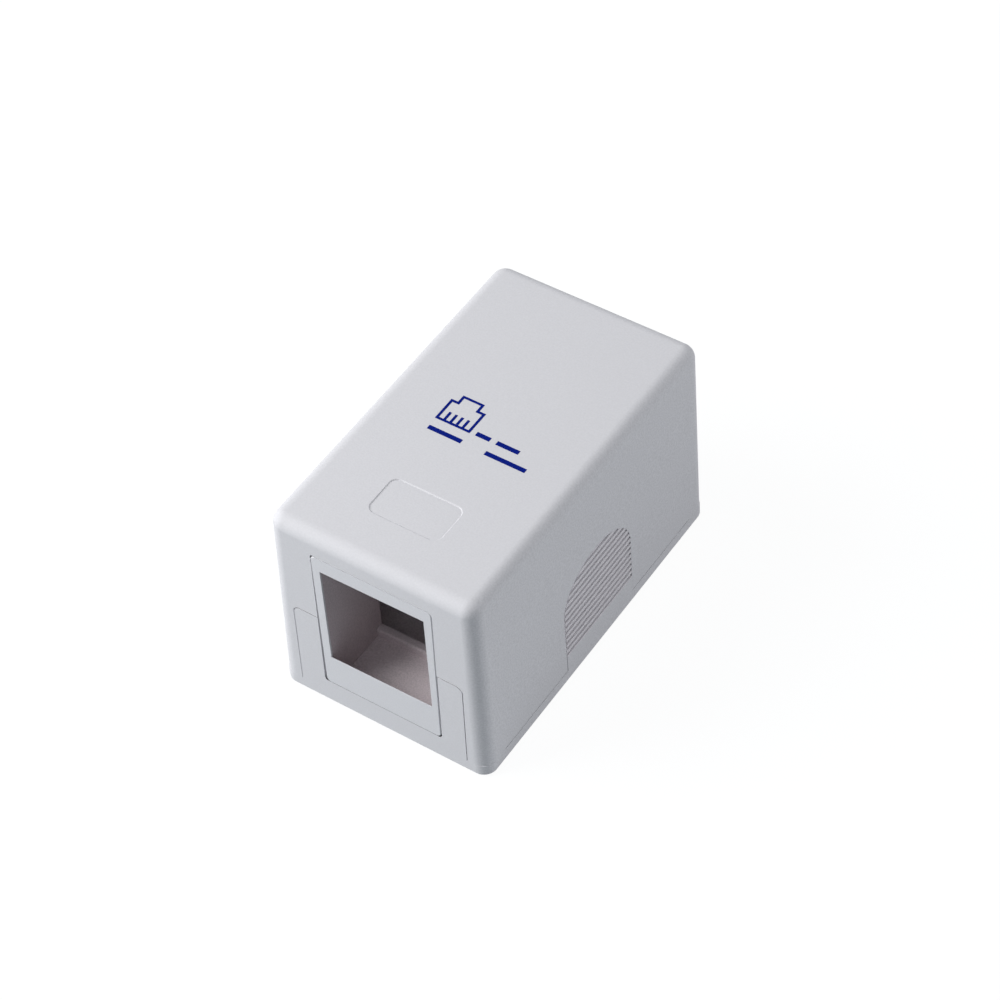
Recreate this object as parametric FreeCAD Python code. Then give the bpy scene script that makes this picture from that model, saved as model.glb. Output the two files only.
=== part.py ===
import FreeCAD, Part
import math
import os

# Surface mount jack box: a housing for one keystone jack, in three mouldings and an adhesive pad.
# Millimetres. +Z is up, +Y runs from the port face to the cable entry, +X is the right side.
# The origin is on the surface the box stands on, below the middle of its outline.

# ---- outside of the closed box, at the underside of its rim
WIDTH = 30.6
LENGTH = 51.0
HEIGHT = 30.4
SIDE_DRAFT = 1.2        # degrees, each side face leaning in
END_DRAFT = 0.8         # degrees, front and back faces leaning in
CORNER_R = 1.95         # upright corners
TOP_EDGE_R = 1.8        # edge round the top
WALL = 1.8
ROOF = 1.8
INNER_CORNER_R = 0.9
INNER_TOP_R = 0.7
EDGE_BREAK = 0.08       # round the insert's face and the opening for the wings

# ---- clearances
SEAM_GAP = 0.06         # between cover and base where their edges show
TIGHT_GAP = 0.02        # over the insert, and over and behind the grip tongues
LOOSE_GAP = 0.12        # in front of the grip tongues
SIDE_GAP = 0.06         # between the rim and the cover's sides, which bow up a little
SLIDE_GAP = 0.15        # between faces that pass each other as the cover lifts

# ---- rim and floor of the base
RIM_HEIGHT = 1.6
RIM_CORNER_R = 1.8      # squarer than the cover, so that its corners stand a shade proud
FLOOR = 2.0
LIP_HEIGHT = 3.2        # locating lip, above the floor
LIP_THICK = 1.2

# ---- front wall of the base: a sill with a wing each side of the port insert
WING_SPAN = 24.4
WING_TOP = 15.3
WING_CORNER_R = 0.9
SILL_TOP = 3.65
SLOT_SPAN = 17.3        # slot in the cover that takes the insert's face
SLOT_RELIEF = 0.08      # further to the right, where the slot runs down between the wings
SLOT_CORNER_R = 0.45

# ---- port insert: face, flange and sleeve
FACE_TOP = 26.88
FACE_PROUD = 0.05       # of the front faces
FACE_TIGHT_GAP = 0.06   # the insert sits over to the right of its slot
FACE_LOOSE_GAP = 0.05   # at the top of its left edge
FACE_TAPER = 0.28       # more at the bottom, so that it slides in
FACE_CORNER_R = 0.85
FACE_FOOT_R = 0.6       # its lower corners
FACE_LEFT_R = 0.3       # the cover's opening at the left corner, which shows a small gap
FLANGE_SPAN = 20.4
FLANGE_TOP = 28.2
FLANGE_BACK = 3.4       # behind the foot of the front face
SLEEVE_WALL = 1.25
SLEEVE_BACK = 10.2
PORT_SHIFT = 0.12       # the port stands a shade to the right of the middle
PORT_LEAN = 0.85        # degrees, its top leaning to the left
APERTURE_WIDTH = 14.85
APERTURE_LOW = 8.91
APERTURE_TOP = 24.67
APERTURE_LIP = 1.7      # thickness of the panel that a jack clips into
LIP_EDGE = 0.08         # and at the aperture's lower edge, where it is ramped
LIP_RAMP = 2.4          # height of the ramp behind that edge
POCKET_LOW = 3.6
POCKET_TOP = 26.3
LEDGE_LENGTH = 1.1      # rear ledge that holds the jack's foot
LEDGE_HEIGHT = 1.25
LEDGE_R = 0.3
LATCH_WIDTH = 8.0       # window in the pocket's roof for the jack's latch
LATCH_LENGTH = 3.0

# ---- guides in the base and the cover that hold the flange
GUIDE_THICK = 1.3
GUIDE_REACH = 1.25      # how far a guide reaches behind the flange
COVER_GUIDE_LENGTH = 8.0

# ---- grip tongues in the sides of the base
TONGUE_WIDTH = 15.1
TONGUE_Y = 0.1          # behind the middle of the box
TONGUE_THICK = 1.6
ARCH_SPRING = 11.2      # where the straight edges end
ARCH_RISE = 6.1
GROOVE_COUNT = 13
GROOVE_PITCH = 1.01
GROOVE_FIRST = 4.69
GROOVE_WIDTH = 0.5
GROOVE_FLOOR = 0.34
GROOVE_DEPTH = 0.5
BAR_LOW = 5.0           # bar across the back of a tongue, whose ends are the latch ears
BAR_HEIGHT = 1.5
BAR_DEPTH = 1.1
EAR_REACH = 1.4
CATCH_DROP = 2.3

# ---- label recess in the top
LABEL_WIDTH = 10.3
LABEL_LENGTH = 6.1
LABEL_FROM_FRONT = 7.15
LABEL_DEPTH = 0.12      # down a slope as wide as this
LABEL_CORNER_R = 1.2

# ---- cable entry: a thin web in the back of the cover
ENTRY_WIDTH = 9.0
ENTRY_HEIGHT = 8.0
ENTRY_WEB = 0.8
ENTRY_SCORE = 0.35

# ---- cable anchor on the floor
ANCHOR_WIDTH = 7.0
ANCHOR_LENGTH = 6.0
ANCHOR_HEIGHT = 3.4
TIE_WIDTH = 3.4
TIE_HEIGHT = 1.6
POST_R = 1.1
POST_HEIGHT = 6.0
POST_SPACING = 11.5
POST_FROM_BACK = 6.2

# ---- fixing: the screws, the cable anchor and the pad share one centre
FIXING_Y = 4.5          # behind the middle of the box, so that the port doesn't show the front screw
SCREW_SPACING = 26.0
SCREW_HOLE_R = 2.0
SCREW_HEAD_R = 3.6
SCREW_BOSS_R = 4.0
SCREW_BOSS_HEIGHT = 1.0
PAD_WIDTH = 22.0
PAD_LENGTH = 19.0
PAD_THICK = 1.0
PAD_CORNER_R = 1.5
PAD_POCKET_DEPTH = 0.7
PAD_POCKET_GAP = 0.3
LINER_THICK = 0.15
LINER_TAB = 1.0

RIM_Z = PAD_THICK + LINER_THICK - PAD_POCKET_DEPTH
PAST = 1.0              # how far a cutting solid runs past the face it cuts


def up(height):
    """Height above the surface of a level given from the rim's underside."""
    return RIM_Z + height


def behind(distance):
    """Y of a place given from the foot of the front face."""
    return -LENGTH / 2 + distance


def vec(x, y, z):
    return FreeCAD.Vector(x, y, z)


def block(x_low, x_high, y_low, y_high, z_low, z_high):
    """Solid between three pairs of planes."""
    return Part.makeBox(x_high - x_low, y_high - y_low, z_high - z_low, vec(x_low, y_low, z_low))


def end_lean(height):
    """How far the front face has leaned back at a height from the rim's underside."""
    return height * math.tan(math.radians(END_DRAFT))


def joined(solids):
    """Several solids as one, with flush faces merged."""
    return solids[0].fuse(solids[1:]).removeSplitter()


def mirrored(solid):
    """The same solid on the other side of the box."""
    return solid.mirror(vec(0, 0, 0), vec(1, 0, 0))


def corner_arc(before, corner, after, radius):
    """Arc of the given radius that rounds a corner, and its two ends."""
    to_before = (before - corner).normalize()
    to_after = (after - corner).normalize()
    half_angle = to_before.getAngle(to_after) / 2
    start = corner + to_before * (radius / math.tan(half_angle))
    end = corner + to_after * (radius / math.tan(half_angle))
    inward = (to_before + to_after).normalize()
    middle = corner + inward * (radius / math.sin(half_angle) - radius)
    return Part.Arc(start, middle, end), start, end


def rounded_face(corners, radii):
    """Flat face with straight sides, each corner rounded by its own radius, or sharp at 0."""
    edges = []
    ends = []
    count = len(corners)
    for index in range(count):
        corner = corners[index]
        radius = radii[index]
        if radius > 0:
            arc, start, end = corner_arc(corners[index - 1], corner, corners[(index + 1) % count], radius)
            ends.append((start, end, arc.toShape()))
        else:
            ends.append((corner, corner, None))
    for index in range(count):
        start, end, arc = ends[index]
        if arc:
            edges.append(arc)
        next_start = ends[(index + 1) % count][0]
        edges.append(Part.LineSegment(end, next_start).toShape())
    return Part.Face(Part.Wire(edges))


def upright_face(outline, y, radii):
    """Face across the box, from (x, z) corners."""
    return rounded_face([vec(x, y, z) for x, z in outline], radii)


def tapered_block(inset, top, corner_r, top_r):
    """Solid inside the drafted outside faces, each moved in by inset, from the rim up to top."""
    half_width = WIDTH / 2 - inset
    half_length = LENGTH / 2 - inset
    rise = top - RIM_Z
    side_lean = rise * math.tan(math.radians(SIDE_DRAFT))
    end_lean = rise * math.tan(math.radians(END_DRAFT))
    across = [
        vec(-half_width, -LENGTH, RIM_Z),
        vec(half_width, -LENGTH, RIM_Z),
        vec(half_width - side_lean, -LENGTH, top),
        vec(-half_width + side_lean, -LENGTH, top),
    ]
    along = [
        vec(-WIDTH, -half_length, RIM_Z),
        vec(-WIDTH, half_length, RIM_Z),
        vec(-WIDTH, half_length - end_lean, top),
        vec(-WIDTH, -half_length + end_lean, top),
    ]
    sharp = [0] * len(across)
    solid = rounded_face(across, sharp).extrude(vec(0, 2 * LENGTH, 0))
    solid = solid.common(rounded_face(along, sharp).extrude(vec(2 * WIDTH, 0, 0)))
    corners = [edge for edge in solid.Edges if edge.BoundBox.ZLength > rise / 2]
    solid = solid.makeFillet(corner_r, corners)
    if top_r > 0:
        rim = [edge for edge in solid.Edges if edge.BoundBox.ZMin > top - top_r / 4]
        solid = solid.makeFillet(top_r, rim)
    return solid


def outside():
    """The closed box's outside, which every visible face lies on."""
    return tapered_block(0, up(HEIGHT), CORNER_R, TOP_EDGE_R)


def inside(inset, corner_r=INNER_CORNER_R):
    """The hollow inside the walls, or a smaller one."""
    return tapered_block(inset, up(HEIGHT) - ROOF, corner_r, INNER_TOP_R)


def eased(solid, edges):
    """The solid with some of its edges broken by a small chamfer."""
    return solid.makeChamfer(EDGE_BREAK, edges)


def front_edges(solid, half_span, top):
    """Edges in the front face, no further from the middle than half_span and below a height."""
    limit = half_span + SEAM_GAP / 2
    outer = [edge for edge in solid.Edges if edge.BoundBox.YMax < behind(WALL / 2)]
    inner = [edge for edge in outer if edge.BoundBox.XMin > -limit and edge.BoundBox.XMax < limit]
    return [edge for edge in inner if edge.BoundBox.ZMax < up(top)]


def layer(solid, low, high):
    """The part of a solid between two heights from the rim's underside."""
    return solid.common(block(-WIDTH, WIDTH, -LENGTH, LENGTH, up(low), up(high)))


def arch(half_width, spring, rise, x_low, x_high):
    """Upright arch-ended prism through a side wall, open at the bottom, on the tongue's middle line."""
    foot = up(0) - PAST
    ellipse = Part.Ellipse(vec(0, TONGUE_Y, up(spring)), half_width, rise)
    left = vec(x_low, TONGUE_Y - half_width, up(spring))
    right = vec(x_low, TONGUE_Y + half_width, up(spring))
    crown = Part.ArcOfEllipse(ellipse, 0, math.pi).toShape()
    crown = crown.rotated(vec(0, TONGUE_Y, up(spring)), vec(1, 0, 0), 90)
    crown = crown.rotated(vec(0, TONGUE_Y, up(spring)), vec(0, 0, 1), 90)
    crown.translate(vec(x_low, 0, 0))
    sides = [
        Part.LineSegment(right, vec(x_low, TONGUE_Y + half_width, foot)).toShape(),
        Part.LineSegment(vec(x_low, TONGUE_Y + half_width, foot),
                         vec(x_low, TONGUE_Y - half_width, foot)).toShape(),
        Part.LineSegment(vec(x_low, TONGUE_Y - half_width, foot), left).toShape(),
    ]
    wire = Part.Wire(Part.__sortEdges__([crown] + sides))
    return Part.Face(wire).extrude(vec(x_high - x_low, 0, 0))


# ---------------------------------------------------------------- cover

def front_opening():
    """Stepped opening in the cover's front: round the wings below, round the insert's face above."""
    low = up(0) - PAST
    step = up(WING_TOP + SEAM_GAP)
    top = up(FACE_TOP + TIGHT_GAP)
    wide = WING_SPAN / 2 + SEAM_GAP
    narrow = SLOT_SPAN / 2
    outline = [
        (-wide, low), (wide, low), (wide, step), (narrow, step),
        (narrow, top), (-narrow, top), (-narrow, step), (-wide, step),
    ]
    wing_r = WING_CORNER_R + SEAM_GAP
    radii = [0, 0, wing_r, 0, FACE_CORNER_R, FACE_LEFT_R, 0, wing_r]
    face = upright_face(outline, behind(-PAST), radii)
    return face.extrude(vec(0, PAST + FLANGE_BACK, 0))


def cover_catches():
    """Wedges inside the right wall, just under the tongue's ears."""
    outer = WIDTH / 2 - WALL / 2
    ear_x = WIDTH / 2 - WALL - SLIDE_GAP - BAR_DEPTH
    top = up(BAR_LOW - SEAM_GAP)
    wedge = [vec(outer, 0, top - CATCH_DROP), vec(outer, 0, top), vec(ear_x, 0, top)]
    wedge.append(vec(outer - WALL / 2, 0, top - CATCH_DROP))
    start = TONGUE_WIDTH / 2 + 2 * SEAM_GAP
    width = EAR_REACH - SEAM_GAP
    solids = []
    for side in (-1, 1):
        catch = rounded_face(wedge, [0] * len(wedge)).extrude(vec(0, width, 0))
        y_low = TONGUE_Y + start if side > 0 else TONGUE_Y - start - width
        catch.translate(vec(0, y_low, 0))
        solids.append(catch)
    return solids


def cover_guides():
    """Two ribs under the roof that stand behind the insert's flange."""
    inner = FLANGE_SPAN / 2 - GUIDE_REACH
    front = behind(FLANGE_BACK + SLIDE_GAP)
    roof = up(HEIGHT) - ROOF / 2
    rib = block(inner, inner + GUIDE_REACH, front, front + GUIDE_THICK, roof - COVER_GUIDE_LENGTH, roof)
    return [rib, mirrored(rib)]


def label_recess():
    """Shallow field in the top for a small label, with sloping edges."""
    front = behind(LABEL_FROM_FRONT)
    half = LABEL_WIDTH / 2
    floor = up(HEIGHT) - LABEL_DEPTH
    corners = [
        vec(-half, front, floor), vec(half, front, floor),
        vec(half, front + LABEL_LENGTH, floor), vec(-half, front + LABEL_LENGTH, floor),
    ]
    field = rounded_face(corners, [LABEL_CORNER_R] * 4).extrude(vec(0, 0, PAST))
    foot = [edge for edge in field.Edges if edge.BoundBox.ZMax < floor + LABEL_DEPTH / 2]
    return field.makeChamfer(LABEL_DEPTH, foot)


def entry_outline(grow, y):
    """Round-topped outline of the cable entry, made larger all round by grow."""
    half = ENTRY_WIDTH / 2 + grow
    top = up(ENTRY_HEIGHT) + grow
    corners = [(-half, up(0) - PAST), (half, up(0) - PAST), (half, top), (-half, top)]
    radius = ENTRY_WIDTH / 3
    return upright_face(corners, y, [0, 0, radius, radius])


def entry_cuts(hollow_back):
    """Pocket behind the entry's web, and the score line round it on the outside."""
    web_inner = LENGTH / 2 - ENTRY_WEB
    pocket = entry_outline(0, hollow_back - PAST).extrude(vec(0, web_inner - hollow_back + PAST, 0))
    pocket = pocket.common(tapered_block(ENTRY_WEB, up(HEIGHT) - ROOF, CORNER_R, 0))
    ring = entry_outline(0, 0).extrude(vec(0, LENGTH, 0))
    ring = ring.cut(entry_outline(-ENTRY_SCORE, 0).extrude(vec(0, LENGTH, 0)))
    score = ring.cut(tapered_block(ENTRY_SCORE, up(HEIGHT), CORNER_R, 0))
    return [pocket, score]


def make_cover():
    """Top and four drafted walls, with the openings that the base and the insert show through."""
    shell = layer(outside(), RIM_HEIGHT, HEIGHT).cut(inside(WALL))
    slot_half = (TONGUE_WIDTH + LOOSE_GAP + TIGHT_GAP) / 2
    side_slot = arch(slot_half, ARCH_SPRING, ARCH_RISE + TIGHT_GAP, 0, WIDTH)
    side_slot.translate(vec(0, (TIGHT_GAP - LOOSE_GAP) / 2, 0))
    catches = cover_catches()
    added = catches + [mirrored(catch) for catch in catches] + cover_guides()
    shell = joined([shell] + added)
    bow = LENGTH / 2 - 2 * CORNER_R
    hairline = block(-WIDTH, WIDTH, -bow, bow, up(0), up(RIM_HEIGHT + SIDE_GAP))
    cuts = [front_opening(), side_slot, mirrored(side_slot), label_recess(), hairline]
    cuts = cuts + entry_cuts(LENGTH / 2 - WALL)
    cover = shell.cut(cuts).removeSplitter()
    return eased(cover, front_edges(cover, WING_SPAN / 2 + SEAM_GAP, WING_TOP + WING_CORNER_R))


# ---------------------------------------------------------------- base

def floor_plate():
    """Rim flush with the cover, and the floor standing inside it."""
    rim = layer(tapered_block(0, up(HEIGHT), RIM_CORNER_R, 0), 0, RIM_HEIGHT)
    plate = layer(inside(WALL + SLIDE_GAP), 0, FLOOR)
    return joined([rim, plate])


def locating_lip():
    """Low wall just inside the cover, broken for the front wall, the tongues and the cable."""
    outer = layer(inside(WALL + SLIDE_GAP), FLOOR / 2, FLOOR + LIP_HEIGHT)
    ring = outer.cut(inside(WALL + SLIDE_GAP + LIP_THICK))
    low = up(0)
    high = up(HEIGHT)
    tongue_reach = TONGUE_WIDTH / 2 + EAR_REACH + 2 * SLIDE_GAP
    entry_half = ENTRY_WIDTH / 2 + SLIDE_GAP
    gaps = [
        block(-WING_SPAN / 2, WING_SPAN / 2, -LENGTH, behind(2 * FLANGE_BACK), up(FLOOR), high),
        block(-WIDTH, WIDTH, TONGUE_Y - tongue_reach, TONGUE_Y + tongue_reach, low, high),
        block(-entry_half, entry_half, 0, LENGTH, up(FLOOR), high),
    ]
    return ring.cut(gaps)


def front_wall():
    """Sill and wings, flush with the cover, round the slot for the insert."""
    half = WING_SPAN / 2
    left = -SLOT_SPAN / 2
    right = SLOT_SPAN / 2 + SLOT_RELIEF
    top = up(WING_TOP)
    outline = [
        (-half, up(0)), (half, up(0)), (half, top), (right, top),
        (right, up(SILL_TOP)), (left, up(SILL_TOP)), (left, top), (-half, top),
    ]
    radii = [0, 0, WING_CORNER_R, 0, SLOT_CORNER_R, SLOT_CORNER_R, 0, WING_CORNER_R]
    wall = upright_face(outline, behind(-PAST), radii).extrude(vec(0, PAST + FLANGE_BACK, 0))
    return wall.common(outside()).cut(inside(WALL))


def base_guides():
    """L-shaped ribs behind the wings that hold the insert's flange from the side and from behind."""
    flange_half = FLANGE_SPAN / 2
    side = flange_half + SLIDE_GAP
    outer = side + GUIDE_THICK
    back = behind(FLANGE_BACK + SLIDE_GAP)
    high = up(WING_TOP - WING_CORNER_R)
    cheek = block(side, outer, behind(WALL / 2), back + GUIDE_THICK, up(FLOOR / 2), high)
    keeper = block(flange_half - GUIDE_REACH, outer, back, back + GUIDE_THICK, up(FLOOR / 2), high)
    guide = cheek.fuse(keeper).common(outside())
    return [guide, mirrored(guide)]


def groove(height):
    """One horizontal groove across the right tongue, following the draft of its face."""
    face_x = WIDTH / 2 - height * math.tan(math.radians(SIDE_DRAFT))
    floor_half = GROOVE_FLOOR / 2
    outer_half = GROOVE_WIDTH - floor_half
    profile = [
        vec(face_x + GROOVE_DEPTH, -LENGTH / 2, up(height) - outer_half),
        vec(face_x + GROOVE_DEPTH, -LENGTH / 2, up(height) + outer_half),
        vec(face_x - GROOVE_DEPTH, -LENGTH / 2, up(height) + floor_half),
        vec(face_x - GROOVE_DEPTH, -LENGTH / 2, up(height) - floor_half),
    ]
    return rounded_face(profile, [0] * 4).extrude(vec(0, LENGTH, 0))


def tongue():
    """Right grip tongue: an arch flush with the cover, grooved outside, with a latch bar inside."""
    blank = arch(TONGUE_WIDTH / 2, ARCH_SPRING, ARCH_RISE, 0, WIDTH)
    skin = blank.common(outside()).cut(inside(TONGUE_THICK))
    skin = skin.cut([groove(GROOVE_FIRST + index * GROOVE_PITCH) for index in range(GROOVE_COUNT)])
    bar_half = TONGUE_WIDTH / 2 + EAR_REACH
    bar = inside(WALL + SLIDE_GAP).cut(inside(WALL + SLIDE_GAP + BAR_DEPTH))
    bar = layer(bar, BAR_LOW, BAR_LOW + BAR_HEIGHT)
    bar = bar.common(block(0, WIDTH, TONGUE_Y - bar_half, TONGUE_Y + bar_half, 0, up(HEIGHT)))
    neck_half = TONGUE_WIDTH / 2 - SLIDE_GAP
    neck = inside(TONGUE_THICK).cut(inside(WALL + SLIDE_GAP + BAR_DEPTH))
    neck = layer(neck, FLOOR / 2, BAR_LOW + BAR_HEIGHT)
    neck = neck.common(block(0, WIDTH, TONGUE_Y - neck_half, TONGUE_Y + neck_half, 0, up(HEIGHT)))
    return joined([skin, bar, neck])


def cable_anchor():
    """Bridge on the floor that a cable tie passes through."""
    y = FIXING_Y
    half_x = ANCHOR_WIDTH / 2
    half_y = ANCHOR_LENGTH / 2
    bridge = block(-half_x, half_x, y - half_y, y + half_y, up(FLOOR / 2), up(FLOOR + ANCHOR_HEIGHT))
    crest = [edge for edge in bridge.Edges if edge.BoundBox.ZMin > up(FLOOR) and edge.BoundBox.XLength == 0]
    bridge = bridge.makeFillet(ANCHOR_HEIGHT / 3, crest)
    tunnel = block(-WIDTH, WIDTH, y - TIE_WIDTH / 2, y + TIE_WIDTH / 2, up(FLOOR), up(FLOOR + TIE_HEIGHT))
    tunnel = tunnel.common(block(-half_x - PAST, half_x + PAST, -LENGTH, LENGTH, 0, up(HEIGHT)))
    return bridge.cut(tunnel)


def cable_posts():
    """Pair of round posts that steer the cable to its anchor."""
    posts = []
    for side in (-1, 1):
        foot = vec(side * POST_SPACING / 2, LENGTH / 2 - WALL - POST_FROM_BACK, up(FLOOR / 2))
        post = Part.makeCylinder(POST_R, POST_HEIGHT + FLOOR / 2, foot)
        top = [edge for edge in post.Edges if edge.BoundBox.ZMin > up(FLOOR)]
        posts.append(post.makeChamfer(POST_R / 3, top))
    return posts


def screw_places():
    """Centres of the two screw holes, on the middle line of the floor."""
    return [vec(0, FIXING_Y + side * SCREW_SPACING / 2, 0) for side in (-1, 1)]


def screw_bosses():
    """Low rings that stiffen the floor round the screws."""
    foot = vec(0, 0, up(FLOOR / 2))
    height = FLOOR / 2 + SCREW_BOSS_HEIGHT
    bosses = [Part.makeCylinder(SCREW_BOSS_R, height, place + foot) for place in screw_places()]
    return [boss.common(inside(WALL + SLIDE_GAP)) for boss in bosses]


def screw_cuts():
    """Countersunk clearance holes."""
    cuts = []
    mouth = up(FLOOR + SCREW_BOSS_HEIGHT)
    sink = SCREW_HEAD_R - SCREW_HOLE_R
    for place in screw_places():
        cuts.append(Part.makeCylinder(SCREW_HOLE_R, HEIGHT, place + vec(0, 0, -PAST)))
        cuts.append(Part.makeCone(SCREW_HOLE_R, SCREW_HEAD_R, sink, place + vec(0, 0, mouth - sink)))
    return cuts


def pad_outline(grow, z):
    """Rounded rectangle of the pad, between the screw holes."""
    half_x = PAD_WIDTH / 2 + grow
    half_y = PAD_LENGTH / 2 + grow
    corners = [
        vec(-half_x, FIXING_Y - half_y, z), vec(half_x, FIXING_Y - half_y, z),
        vec(half_x, FIXING_Y + half_y, z), vec(-half_x, FIXING_Y + half_y, z),
    ]
    return rounded_face(corners, [PAD_CORNER_R + grow] * 4)


def make_base():
    """Floor, rim, front wall and grip tongues in one moulding."""
    right = tongue()
    solids = [floor_plate(), locating_lip(), front_wall(), right, mirrored(right), cable_anchor()]
    solids = solids + base_guides() + cable_posts() + screw_bosses()
    pocket = pad_outline(PAD_POCKET_GAP, up(0) - PAST).extrude(vec(0, 0, PAST + PAD_POCKET_DEPTH))
    return joined(solids).cut(screw_cuts() + [pocket]).removeSplitter()


# ---------------------------------------------------------------- port insert

def insert_face():
    """Visible plate, a shade proud of the front faces, tapered down its left edge."""
    slot = SLOT_SPAN / 2
    low = up(SILL_TOP + SEAM_GAP)
    top = up(FACE_TOP)
    outline = [
        (-slot + FACE_LOOSE_GAP + FACE_TAPER, low), (slot - FACE_TIGHT_GAP, low),
        (slot - FACE_TIGHT_GAP, top), (-slot + FACE_LOOSE_GAP, top),
    ]
    radii = [FACE_FOOT_R, FACE_FOOT_R, FACE_CORNER_R, FACE_CORNER_R]
    plate = upright_face(outline, behind(-PAST), radii).extrude(vec(0, PAST + FLANGE_BACK, 0))
    plate = plate.common(tapered_block(-FACE_PROUD, up(HEIGHT), CORNER_R, 0))
    return eased(plate, front_edges(plate, slot, HEIGHT))


def insert_flange():
    """Plate behind the front wall, standing on the floor between the guides."""
    half = FLANGE_SPAN / 2
    plate = block(-half, half, behind(0), behind(FLANGE_BACK), up(FLOOR), up(FLANGE_TOP))
    return plate.common(inside(WALL + SLIDE_GAP))


def in_port(solid):
    """Moves a solid drawn square on the middle line to where the port stands."""
    middle = up((APERTURE_LOW + APERTURE_TOP) / 2)
    placed = solid.rotated(vec(0, 0, middle), vec(0, 1, 0), -PORT_LEAN)
    return placed.translated(vec(PORT_SHIFT, 0, 0))


def port_hollow():
    """Aperture, whose lower lip is ramped behind, and the taller pocket that the jack stands in."""
    half = APERTURE_WIDTH / 2
    edge_back = end_lean(APERTURE_LOW) + LIP_EDGE - FACE_PROUD
    lip_back = APERTURE_LIP - FACE_PROUD
    past_back = SLEEVE_BACK + PAST
    profile = [
        (-PAST, APERTURE_LOW), (edge_back, APERTURE_LOW), (lip_back, APERTURE_LOW - LIP_RAMP),
        (lip_back, POCKET_LOW), (past_back, POCKET_LOW), (past_back, POCKET_TOP),
        (lip_back, POCKET_TOP), (lip_back, APERTURE_TOP), (-PAST, APERTURE_TOP),
    ]
    outline = [vec(-half, behind(y), up(z)) for y, z in profile]
    return in_port(rounded_face(outline, [0] * len(outline)).extrude(vec(APERTURE_WIDTH, 0, 0)))


def make_jack_frame():
    """Face, flange and sleeve of the port, with the ledges that a keystone jack snaps on."""
    outer = APERTURE_WIDTH / 2 + SLEEVE_WALL
    sleeve = block(-outer, outer, behind(FLANGE_BACK / 2), behind(SLEEVE_BACK),
                   up(POCKET_LOW - SLEEVE_WALL), up(POCKET_TOP + SLEEVE_WALL))
    sleeve = sleeve.common(inside(WALL + SLIDE_GAP))
    frame = joined([insert_face(), insert_flange(), sleeve]).cut(port_hollow())
    half = APERTURE_WIDTH / 2 + SLEEVE_WALL / 2
    ledge_front = behind(SLEEVE_BACK - LEDGE_LENGTH)
    ledge = block(-half, half, ledge_front, behind(SLEEVE_BACK),
                  up(POCKET_LOW - SLEEVE_WALL / 2), up(POCKET_LOW + LEDGE_HEIGHT))
    crest = [edge for edge in ledge.Edges
             if edge.BoundBox.ZMin > up(POCKET_LOW) and edge.BoundBox.YMax < behind(SLEEVE_BACK - LEDGE_R)]
    ledge = ledge.makeFillet(LEDGE_R, crest)
    window = block(-LATCH_WIDTH / 2, LATCH_WIDTH / 2, behind(SLEEVE_BACK - LATCH_LENGTH),
                   behind(SLEEVE_BACK + PAST), up(POCKET_TOP - SLEEVE_WALL), up(HEIGHT))
    return joined([frame, in_port(ledge)]).cut(in_port(window)).removeSplitter()


# ---------------------------------------------------------------- pad

def make_adhesive_pad():
    """Double-sided foam, seated in the pocket under the floor."""
    return pad_outline(0, LINER_THICK).extrude(vec(0, 0, PAD_THICK))


def make_release_liner():
    """Peel-off paper under the pad, with a pull tab at one end."""
    half_x = PAD_WIDTH / 2
    half_y = PAD_LENGTH / 2
    corners = [
        vec(-half_x, FIXING_Y - half_y, 0), vec(half_x, FIXING_Y - half_y, 0),
        vec(half_x, FIXING_Y + half_y + LINER_TAB, 0), vec(-half_x, FIXING_Y + half_y + LINER_TAB, 0),
    ]
    return rounded_face(corners, [PAD_CORNER_R] * 4).extrude(vec(0, 0, LINER_THICK))


def main():
    os.makedirs("parts", exist_ok=True)
    nodes = {
        "cover": make_cover(),
        "base": make_base(),
        "jack_frame": make_jack_frame(),
        "adhesive_pad": make_adhesive_pad(),
        "release_liner": make_release_liner(),
    }
    for name, shape in nodes.items():
        shape.exportStep("parts/" + name + ".step")


main()
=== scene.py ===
import math

import bpy
from mathutils import Matrix, Vector


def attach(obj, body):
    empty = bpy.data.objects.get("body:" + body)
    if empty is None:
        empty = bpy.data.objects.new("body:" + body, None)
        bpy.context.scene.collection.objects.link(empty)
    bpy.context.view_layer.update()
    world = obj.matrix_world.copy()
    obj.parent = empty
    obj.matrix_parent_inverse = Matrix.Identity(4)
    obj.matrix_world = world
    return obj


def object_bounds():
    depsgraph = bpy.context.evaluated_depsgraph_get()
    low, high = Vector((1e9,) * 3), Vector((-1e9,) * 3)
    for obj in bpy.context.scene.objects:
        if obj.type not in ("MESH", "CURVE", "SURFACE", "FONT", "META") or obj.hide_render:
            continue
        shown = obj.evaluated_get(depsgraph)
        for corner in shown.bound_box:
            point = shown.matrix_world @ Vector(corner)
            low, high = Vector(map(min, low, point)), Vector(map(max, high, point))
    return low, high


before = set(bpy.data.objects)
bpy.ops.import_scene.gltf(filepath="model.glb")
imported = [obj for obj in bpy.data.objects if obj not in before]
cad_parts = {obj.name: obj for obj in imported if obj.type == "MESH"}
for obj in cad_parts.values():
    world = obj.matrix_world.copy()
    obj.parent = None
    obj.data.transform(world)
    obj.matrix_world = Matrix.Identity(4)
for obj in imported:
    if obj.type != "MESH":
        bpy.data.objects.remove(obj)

# Looks of the surface mount jack box. Metres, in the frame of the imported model:
# x to the right, y to the back, z up, and the origin in the middle of the underside.

MM = 0.001
WHITE = (1, 1, 1, 1)

CAD_BOX = [list(corner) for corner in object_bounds()]
HALF_WIDTH, HALF_LENGTH, TOP = CAD_BOX[1]

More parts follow.
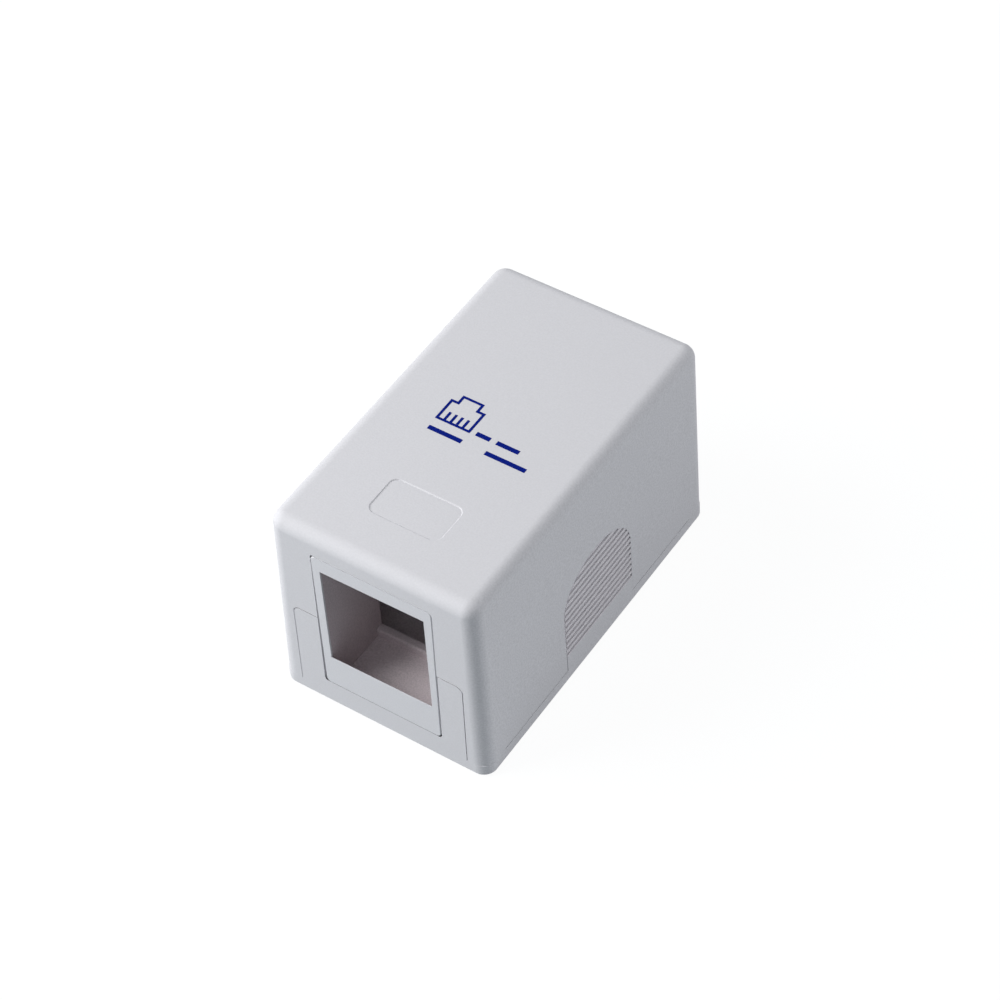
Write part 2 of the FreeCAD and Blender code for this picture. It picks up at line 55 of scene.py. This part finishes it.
# ---- camera, with its sensor and lens in millimetres as Blender wants them
CAMERA_AZIMUTH = math.radians(36.205)
CAMERA_ELEVATION = math.radians(48.389)
CAMERA_ROLL = math.radians(-3.804)
CAMERA_DISTANCE = 366.2 * MM
CAMERA_AIM = Vector((-0.344, 1.960, 15.618)) * MM
CAMERA_CLIP = 10 * MM
SENSOR = 36.0
LENS = 106.379

# ---- floor: what the camera sees of it is mixed with plain white
FLOOR_SIZE = 6.0
FLOOR_COLOR = (0.425, 0.462, 0.482, 1)
FLOOR_WHITE = 0.85
WHITE_LEVEL = 1.12

# ---- lights: a key from the front left, a fainter one from the back right, and a dim sky
SKY = (0.275, 0.288, 0.304, 1)
KEY_FROM = Vector((-0.364, -0.252, 0.350))
KEY_SIZE = 0.4
KEY_POWER = 3.98
KEY_COLOR = (1.0, 1.0, 1.0)
SIDE_FROM = Vector((0.75, 0.60, 0.10))
SIDE_SIZE = 0.5
SIDE_POWER = 5.1
SIDE_COLOR = (0.99, 0.985, 1.0)

# ---- tones of the plastic; the inside is warmer, a painted tint for the light that only comes off other walls; the port, the insert's top bevel and the grip carry painted light and shade
SHELL = (0.62, 0.616, 0.639)
INSERT = (0.632, 0.632, 0.657)
# painted bounce light: a warmer tone on the walls inside the box
HOLLOW_BOUNCE_TINT = (0.655, 0.605, 0.62)
# painted light: a lighter tone on the port's floor and back
PORT_PAINTED_LIGHT = (0.735, 0.665, 0.685)
# painted shade: a darker tone on the port's side walls
PORT_WALL_SHADE = (0.485, 0.43, 0.447)
# painted shade: a darker tone on the insert's top bevel, damping its highlight
INSERT_EDGE_SHADE = (0.42, 0.42, 0.44)
# painted highlight: a lighter, warmer tone on the tongues' grooved fields
GRIP_HIGHLIGHT = (0.675, 0.65, 0.675)

# ---- painted shade in the seams, where the base looks up into a gap
SEAM_SHADE = (0.05, 0.045, 0.045)
# fainter painted shade, on the tops of the wings
FAINT_SEAM_SHADE = (0.42, 0.41, 0.42)

# ---- grain of the plastic: how deep it goes on each moulding, and how strongly it mottles
PIT_SCALE = 4400.0
PIT_DETAIL = 3.0
PIT_DEPTH = 0.03 * MM
COVER_GRAIN = 0.5
BASE_GRAIN = 0.2
INSERT_GRAIN = 0.2
MOTTLE_SPAN = (0.3, 0.7)
FINE_MOTTLE = 0.03
SIDE_MOTTLE = 0.1
HOLLOW_MOTTLE = 0.12
PLASTIC_SMOOTHEST = 0.66
PLASTIC_ROUGHEST = 0.78
PLASTIC_SPECULAR = 0.3
PLASTIC_IOR = 1.5

# ---- limits of the patches of painted light and shade, mostly measured in from the outside of the box;
# the port's walls begin behind the insert's face, which leans back and has its foot at PORT_FRONT_Y
HOLLOW_HALF_X = HALF_WIDTH - 1.8 * MM
HOLLOW_HALF_Y = HALF_LENGTH - 1.9 * MM
HOLLOW_LOW = 2.3 * MM
HOLLOW_HIGH = TOP - 1.75 * MM
PORT_HALF_X = 7.8 * MM
PORT_HIGH = 27.0 * MM
PORT_FRONT_Y = 0.21 * MM - HALF_LENGTH
FACE_LEAN = math.tan(math.radians(0.8))
INSERT_EDGE_Y = 0.5 * MM - HALF_LENGTH
INSERT_EDGE_Z = 27.24 * MM
FRONT_WALL_Y = 3.5 * MM - HALF_LENGTH
SILL_Z = 6.0 * MM
RIM_LAND_X = HALF_WIDTH - 0.17 * MM
RIM_LAND_HALF_Y = HALF_LENGTH - 4.0 * MM
RIM_LAND_Z = 2.07 * MM
GRIP_X = HALF_WIDTH - 1.7 * MM
GRIP_HALF_Y = 7.7 * MM
GRIP_LOW = 4.6 * MM

# ---- share of a normal's length along an axis from which a face counts as facing that way
FACES_UP = 0.7
FACES_SIDEWAYS = 0.5

# ---- foam of the pad
FOAM_SCALE = 4200.0
FOAM_SPAN = (0.1, 0.6)
FOAM_DARK = (0.52, 0.52, 0.50)
FOAM_PALE = (0.70, 0.70, 0.68)
FOAM_BUMP = 0.6
FOAM_CELL_DEPTH = 0.08 * MM
FOAM_ROUGHNESS = 0.9

# ---- paper of the liner
FIBRE_SCALE = 900.0
FIBRE_DETAIL = 6.0
FIBRE_STRETCH = (1, 4, 1)
FIBRE_SPAN = (0.3, 0.7)
PAPER_DARK = (0.62, 0.56, 0.40)
PAPER_PALE = (0.70, 0.65, 0.50)
PAPER_BUMP = 0.2
PAPER_DEPTH = 0.02 * MM
PAPER_ROUGHNESS = 0.4

# ---- ink of the print, and the shares by which its coat gets darker and paler
INK = (0.0005, 0.0085, 0.165)
INK_DARKER = 0.2
INK_PALER = 0.35
INK_SCALE = 5200.0
INK_DETAIL = 4.0
INK_SPAN = (0.25, 0.75)
INK_BUMP = 0.15
INK_DEPTH = 0.01 * MM
INK_ROUGHNESS = 0.6
INK_SPECULAR = 0.06

# ---- sign of a jack on the top, measured from the middle of the box
INK_THICK = 0.02 * MM
SIGN_LEFT = -6.35 * MM
SIGN_RIGHT = -1.35 * MM
SIGN_LOW = -1.95 * MM
SIGN_SHOULDER = 1.3 * MM
SIGN_HIGH = 2.85 * MM
SIGN_STEP = 1.3 * MM
SIGN_LINE = 0.36 * MM
PIN_COUNT = 4
PIN_FIRST = 1.0 * MM
PIN_PITCH = 0.88 * MM
PIN_LENGTH = 1.35 * MM

# ---- plain strokes beside the sign, each with its left end, right end and front in millimetres
STROKE_DEPTH = 0.65 * MM
STROKES = (
    (-6.2, -1.4, -3.9),
    (-0.6, 1.4, -1.9),
    (2.3, 5.5, -1.9),
    (2.0, 7.75, -3.95),
)

# ---- faces of a block whose corners go round its bottom and then round its top
BLOCK_FACES = ((3, 2, 1, 0), (4, 5, 6, 7), (0, 1, 5, 4), (1, 2, 6, 5), (2, 3, 7, 6), (3, 0, 4, 7))

# ---- sockets of a Mix node that count when it mixes colours
MIX_FACTOR = 0
MIX_FIRST = 6
MIX_SECOND = 7
MIX_RESULT = 2


class Nodes:
    """Short way to write the nodes and links of a material or a world."""

    def __init__(self, owner, output):
        self.owner = owner
        self.owner.use_nodes = True
        self.tree = owner.node_tree
        self.tree.nodes.clear()
        self.out = self.tree.nodes.new(output)

    def add(self, kind, **values):
        """New node; a value names a socket, or a setting of the node if it starts with set_."""
        node = self.tree.nodes.new(kind)
        for name, value in values.items():
            if name.startswith("set_"):
                setattr(node, name.removeprefix("set_"), value)
            else:
                self.feed(node, name.replace("_", " "), value)
        return node

    def feed(self, node, socket, value):
        """Links a value to a socket if it is a socket, and otherwise writes it there."""
        if isinstance(value, bpy.types.NodeSocket):
            self.tree.links.new(value, node.inputs[socket])
        else:
            node.inputs[socket].default_value = value

    def math(self, operation, *values):
        node = self.add("ShaderNodeMath", set_operation=operation)
        for index, value in enumerate(values):
            self.feed(node, index, value)
        return node.outputs[0]

    def magnitude(self, value):
        return self.math("ABSOLUTE", value)

    def above(self, value, limit):
        return self.math("GREATER_THAN", value, limit)

    def below(self, value, limit):
        return self.math("LESS_THAN", value, limit)

    def chain(self, operation, values):
        """One operation on the first two values, on that result and the third, and so on."""
        result = values[0]
        for value in values[1:]:
            result = self.math(operation, result, value)
        return result

    def all_of(self, *masks):
        return self.chain("MULTIPLY", masks)

    def any_of(self, *masks):
        return self.chain("MAXIMUM", masks)

    def place(self):
        """Where a point lies, in the object's own coordinates."""
        return self.add("ShaderNodeTexCoord").outputs["Object"]

    def split(self, vector):
        """Parts of a vector, as X, Y and Z."""
        return self.add("ShaderNodeSeparateXYZ", Vector=vector).outputs

    def facing(self):
        """Parts of the normal in the object's own axes."""
        return self.split(self.add("ShaderNodeTexCoord").outputs["Normal"])

    def sideways(self):
        """1 on the left and right faces, falling to 0 on the others."""
        return self.magnitude(self.facing()["X"])

    def facing_up(self):
        """1 on faces that look up, 0 on the others."""
        return self.above(self.facing()["Z"], FACES_UP)

    def noise(self, vector, scale, detail):
        node = self.add("ShaderNodeTexNoise", Vector=vector, Scale=scale, Detail=detail)
        return node.outputs["Fac"]

    def ramp(self, factor, span, low_color, high_color):
        """Colour that goes from one to the other while the factor crosses a span."""
        node = self.add("ShaderNodeValToRGB", Fac=factor)
        for stop, position, color in zip(node.color_ramp.elements, span, (low_color, high_color)):
            stop.position = position
            stop.color = (*color, 1)
        return node.outputs["Color"]

    def blend(self, factor, first, second):
        """First colour where the factor is 0, second where it is 1."""
        node = self.add("ShaderNodeMix", set_data_type="RGBA")
        self.feed(node, MIX_FACTOR, factor)
        self.feed(node, MIX_FIRST, first)
        self.feed(node, MIX_SECOND, second)
        return node.outputs[MIX_RESULT]

    def bump(self, height, strength, depth):
        """Normal that a height bends."""
        node = self.add("ShaderNodeBump", Height=height, Strength=strength, Distance=depth)
        return node.outputs["Normal"]

    def seen_directly(self):
        """1 for what the camera sees, also mirrored or through glass, and 0 for other light."""
        path = self.add("ShaderNodeLightPath").outputs
        return self.any_of(path["Is Camera Ray"], path["Is Glossy Ray"], path["Is Transmission Ray"])

    def mix_shaders(self, factor, first, second):
        """First shader where the factor is 0, second where it is 1."""
        node = self.add("ShaderNodeMixShader", Fac=factor)
        self.feed(node, 1, first)
        self.feed(node, 2, second)
        return node.outputs["Shader"]

    def finish(self, shader):
        """Puts a shader on the output, and gives back the finished material or world."""
        self.feed(self.out, "Surface", shader)
        return self.owner

    def principled(self, **values):
        """Finished material with a principled shader."""
        return self.finish(self.add("ShaderNodeBsdfPrincipled", **values).outputs["BSDF"])


def new_material(name):
    return Nodes(bpy.data.materials.new(name), "ShaderNodeOutputMaterial")


def add_object(name, data):
    """Puts a new object into the scene."""
    piece = bpy.data.objects.new(name, data)
    bpy.context.scene.collection.objects.link(piece)
    return piece


def add_mesh(name, vertices, faces, material):
    """Puts a new mesh object with one material into the scene."""
    mesh = bpy.data.meshes.new(name)
    mesh.from_pydata(vertices, [], faces)
    mesh.materials.append(material)
    return add_object(name, mesh)


def add_camera():
    """Camera that looks down on the front and the right side."""
    data = bpy.data.cameras.new("camera")
    data.sensor_width = SENSOR
    data.lens = LENS
    data.clip_start = CAMERA_CLIP
    camera = add_object("camera", data)
    flat = math.cos(CAMERA_ELEVATION)
    back = Vector((
        flat * math.sin(CAMERA_AZIMUTH),
        -flat * math.cos(CAMERA_AZIMUTH),
        math.sin(CAMERA_ELEVATION),
    ))
    right = Vector((0, 0, 1)).cross(back).normalized()
    above = back.cross(right)
    turn = Matrix((right, above, back)).transposed() @ Matrix.Rotation(CAMERA_ROLL, 3, "Z")
    camera.matrix_world = Matrix.Translation(CAMERA_AIM + back * CAMERA_DISTANCE) @ turn.to_4x4()
    bpy.context.scene.camera = camera


# Masks: each is 1 on its patch of a moulding and 0 elsewhere. The place comes as its X, Y and Z.


def in_hollow(nodes, place):
    """The walls that look into the box, which carry a painted warm tint for light bounced between
    them.
    """
    return nodes.all_of(
        nodes.below(nodes.magnitude(place["X"]), HOLLOW_HALF_X),
        nodes.below(nodes.magnitude(place["Y"]), HOLLOW_HALF_Y),
        nodes.above(place["Z"], HOLLOW_LOW),
        nodes.below(place["Z"], HOLLOW_HIGH),
    )


def in_port(nodes, place):
    """The walls of the port, behind the insert's leaning face, painted lighter as if lit."""
    face = nodes.math("MULTIPLY_ADD", place["Z"], FACE_LEAN, PORT_FRONT_Y)
    return nodes.all_of(
        nodes.above(place["Y"], face),
        nodes.below(nodes.magnitude(place["X"]), PORT_HALF_X),
        nodes.below(place["Z"], PORT_HIGH),
    )


def on_port_walls(nodes, place):
    """The left and right walls of the port, painted darker as shade."""
    return nodes.all_of(nodes.above(nodes.sideways(), FACES_SIDEWAYS), in_port(nodes, place))


def on_insert_edge(nodes, place):
    """The bevel along the top of the insert's face, painted darker to damp its highlight."""
    return nodes.all_of(
        nodes.above(place["Z"], INSERT_EDGE_Z),
        nodes.below(place["Y"], INSERT_EDGE_Y),
    )


def on_sides_land(nodes, place):
    """The outer edge of the rim's upper land, along the sides, painted dark as the shade in the
    hairline above it.
    """
    return nodes.all_of(
        nodes.facing_up(),
        nodes.above(nodes.magnitude(place["X"]), RIM_LAND_X),
        nodes.below(nodes.magnitude(place["Y"]), RIM_LAND_HALF_Y),
        nodes.below(place["Z"], RIM_LAND_Z),
    )


def on_sill(nodes, place):
    """The sill's top, in the gap below the insert, painted dark as the shade under the insert."""
    return nodes.all_of(
        nodes.facing_up(),
        nodes.below(place["Y"], FRONT_WALL_Y),
        nodes.above(place["Z"], RIM_LAND_Z),
        nodes.below(place["Z"], SILL_Z),
    )


def on_wing_tops(nodes, place):
    """The tops of the front wall's wings, painted a little darker as shade."""
    return nodes.all_of(
        nodes.facing_up(),
        nodes.below(place["Y"], FRONT_WALL_Y),
        nodes.above(place["Z"], SILL_Z),
    )


def on_grip(nodes, place):
    """The grooved fields of the tongues, painted lighter as a highlight on their ridges."""
    return nodes.all_of(
        nodes.above(nodes.magnitude(place["X"]), GRIP_X),
        nodes.below(nodes.magnitude(place["Y"]), GRIP_HALF_Y),
        nodes.above(place["Z"], GRIP_LOW),
    )


def shaded(color, share):
    return [channel * share for channel in color]


def mottled(nodes, noise, color, share):
    """Colour that a noise makes darker and lighter by a share."""
    return nodes.ramp(noise, MOTTLE_SPAN, shaded(color, 1 - share), shaded(color, 1 + share))


def moulded_plastic(name, color, grain, patches):
    """Matte ABS with a fine spark-eroded grain; a patch is a mask, its tone and its mottle."""
    nodes = new_material(name)
    whole = nodes.place()
    place = nodes.split(whole)
    pits = nodes.noise(whole, PIT_SCALE, PIT_DETAIL)
    plain = mottled(nodes, pits, color, FINE_MOTTLE)
    tone = nodes.blend(nodes.sideways(), plain, mottled(nodes, pits, color, SIDE_MOTTLE))
    for mask, patch_color, share in patches:
        tone = nodes.blend(mask(nodes, place), tone, mottled(nodes, pits, patch_color, share))
    polish = nodes.add(
        "ShaderNodeMapRange", Value=pits, To_Min=PLASTIC_SMOOTHEST, To_Max=PLASTIC_ROUGHEST,
    )
    return nodes.principled(
        Base_Color=tone,
        Roughness=polish.outputs["Result"],
        Specular_IOR_Level=PLASTIC_SPECULAR,
        Normal=nodes.bump(pits, grain, PIT_DEPTH),
        IOR=PLASTIC_IOR,
    )


def cover_plastic():
    # the inside gets a painted warm tint for bounced light
    return moulded_plastic("cover_abs", SHELL, COVER_GRAIN, (
        (in_hollow, HOLLOW_BOUNCE_TINT, HOLLOW_MOTTLE),
    ))


def base_plastic():
    # painted warm tint inside, painted highlight on the grip, painted shade in the seams
    return moulded_plastic("base_abs", SHELL, BASE_GRAIN, (
        (in_hollow, HOLLOW_BOUNCE_TINT, HOLLOW_MOTTLE),
        (on_grip, GRIP_HIGHLIGHT, FINE_MOTTLE),
        (on_sides_land, SEAM_SHADE, HOLLOW_MOTTLE),
        (on_sill, SEAM_SHADE, HOLLOW_MOTTLE),
        (on_wing_tops, FAINT_SEAM_SHADE, HOLLOW_MOTTLE),
    ))


def insert_plastic():
    # painted light in the port, painted shade on its side walls and on the top bevel
    return moulded_plastic("insert_abs", INSERT, INSERT_GRAIN, (
        (in_port, PORT_PAINTED_LIGHT, HOLLOW_MOTTLE),
        (on_port_walls, PORT_WALL_SHADE, HOLLOW_MOTTLE),
        (on_insert_edge, INSERT_EDGE_SHADE, FINE_MOTTLE),
    ))


def foam():
    """Closed-cell foam, with its cells cut open at the edges."""
    nodes = new_material("foam")
    bubbles = nodes.add("ShaderNodeTexVoronoi", Vector=nodes.place(), Scale=FOAM_SCALE)
    cells = bubbles.outputs["Distance"]
    return nodes.principled(
        Base_Color=nodes.ramp(cells, FOAM_SPAN, FOAM_DARK, FOAM_PALE),
        Roughness=FOAM_ROUGHNESS,
        Normal=nodes.bump(cells, FOAM_BUMP, FOAM_CELL_DEPTH),
    )


def waxed_paper():
    """Release liner, faintly fibrous under its wax."""
    nodes = new_material("waxed_paper")
    stretched = nodes.add("ShaderNodeMapping", Vector=nodes.place(), Scale=FIBRE_STRETCH)
    fibres = nodes.noise(stretched.outputs["Vector"], FIBRE_SCALE, FIBRE_DETAIL)
    return nodes.principled(
        Base_Color=nodes.ramp(fibres, FIBRE_SPAN, PAPER_DARK, PAPER_PALE),
        Roughness=PAPER_ROUGHNESS,
        Normal=nodes.bump(fibres, PAPER_BUMP, PAPER_DEPTH),
    )


def pad_ink():
    """Pad-printed ink, a little uneven."""
    nodes = new_material("pad_ink")
    coat = nodes.noise(nodes.place(), INK_SCALE, INK_DETAIL)
    return nodes.principled(
        Base_Color=nodes.ramp(coat, INK_SPAN, shaded(INK, 1 - INK_DARKER), shaded(INK, 1 + INK_PALER)),
        Roughness=INK_ROUGHNESS,
        Specular_IOR_Level=INK_SPECULAR,
        Normal=nodes.bump(coat, INK_BUMP, INK_DEPTH),
    )


def floor_paint():
    """Pale matte floor that the camera sees as nearly plain white, with a faint shadow."""
    nodes = new_material("floor")
    lit = nodes.add("ShaderNodeBsdfDiffuse", Color=FLOOR_COLOR).outputs["BSDF"]
    white = nodes.add("ShaderNodeEmission", Color=WHITE, Strength=WHITE_LEVEL).outputs["Emission"]
    share = nodes.math("MULTIPLY", nodes.seen_directly(), FLOOR_WHITE)
    return nodes.finish(nodes.mix_shaders(share, lit, white))


def dress(node, material):
    """Gives a carried-over CAD node its finish."""
    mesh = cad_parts[node].data
    mesh.materials.clear()
    mesh.materials.append(material)


def print_bars():
    """Bars of the print, as (left, right, front, back), which touch but never overlap."""
    left, right, line = SIGN_LEFT, SIGN_RIGHT, SIGN_LINE
    low, shoulder, high = SIGN_LOW, SIGN_SHOULDER, SIGN_HIGH
    neck_left = left + SIGN_STEP
    neck_right = right - SIGN_STEP
    bars = [
        (left, right, low, low + line),
        (left, left + line, low + line, shoulder),
        (right - line, right, low + line, shoulder),
        (left, neck_left, shoulder, shoulder + line),
        (neck_right, right, shoulder, shoulder + line),
        (neck_left - line, neck_left, shoulder + line, high - line),
        (neck_right, neck_right + line, shoulder + line, high - line),
        (neck_left - line, neck_right + line, high - line, high),
    ]
    for index in range(PIN_COUNT):
        pin = left + PIN_FIRST + index * PIN_PITCH
        bars.append((pin, pin + line, low + line, low + line + PIN_LENGTH))
    for start, end, front in STROKES:
        bars.append((start * MM, end * MM, front * MM, front * MM + STROKE_DEPTH))
    return bars


def add_print():
    """Blue print on the top, as thin closed blocks of ink: the sign of a jack, and plain strokes."""
    vertices = []
    faces = []
    for left, right, front, back in print_bars():
        first = len(vertices)
        for z in (TOP, TOP + INK_THICK):
            vertices += [(left, front, z), (right, front, z), (right, back, z), (left, back, z)]
        faces += [[first + corner for corner in face] for face in BLOCK_FACES]
    piece = add_mesh("top_print", vertices, faces, pad_ink())
    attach(piece, "lid")


def add_floor():
    """Wide square floor under the box."""
    half = FLOOR_SIZE / 2
    corners = [(-half, -half, 0), (half, -half, 0), (half, half, 0), (-half, half, 0)]
    floor = add_mesh("floor", corners, [(0, 1, 2, 3)], floor_paint())


def add_area_light(name, place, size, power, color):
    """Soft square lamp that points at the box."""
    data = bpy.data.lights.new(name, "AREA")
    data.size = size
    data.energy = power
    data.color = color
    lamp = add_object(name, data)
    lamp.location = place
    lamp.rotation_euler = (-place).to_track_quat("-Z", "Y").to_euler()


def add_world():
    """Even dim light from all round, which the camera itself sees as white."""
    nodes = Nodes(bpy.data.worlds.new("studio"), "ShaderNodeOutputWorld")
    sky = nodes.add("ShaderNodeBackground", Color=SKY).outputs["Background"]
    white = nodes.add("ShaderNodeBackground", Color=WHITE).outputs["Background"]
    bpy.context.scene.world = nodes.finish(nodes.mix_shaders(nodes.seen_directly(), sky, white))


def main():
    bpy.context.scene.view_settings.view_transform = "Standard"
    add_camera()
    dress("cover", cover_plastic())
    dress("base", base_plastic())
    dress("jack_frame", insert_plastic())
    dress("adhesive_pad", foam())
    dress("release_liner", waxed_paper())
    add_print()
    add_floor()
    add_world()
    add_area_light("key", KEY_FROM, KEY_SIZE, KEY_POWER, KEY_COLOR)
    add_area_light("side", SIDE_FROM, SIDE_SIZE, SIDE_POWER, SIDE_COLOR)


main()
